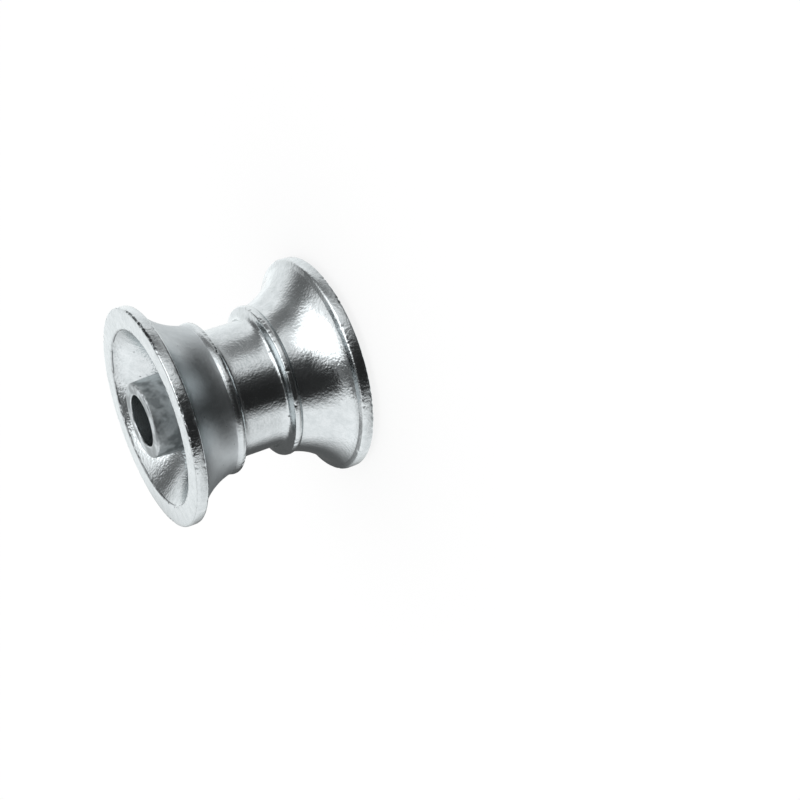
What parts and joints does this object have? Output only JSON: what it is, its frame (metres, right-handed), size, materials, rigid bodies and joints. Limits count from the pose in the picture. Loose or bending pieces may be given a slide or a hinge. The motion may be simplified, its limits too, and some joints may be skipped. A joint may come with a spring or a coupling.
{
  "type": "sheave",
  "caption": "Cast sheave with two flared rims, a stepped groove, cored ends and a plain bored hub, to turn on an axle pin.",
  "frame": {"origin": "middle of the sheave, on its axis, halfway between the two ends of the hub", "axes": "+Z along the axis of turning, towards the end that is on top when the sheave stands on its hub; X and Y are any two square directions across it"},
  "size_m": [0.076, 0.076, 0.069],
  "materials": {
    "zinc_plated_iron": "bright zinc plate over a lightly grained cast skin"
  },
  "bodies": {
    "root": {"sheave": "zinc_plated_iron"}
  },
  "joints": []
}
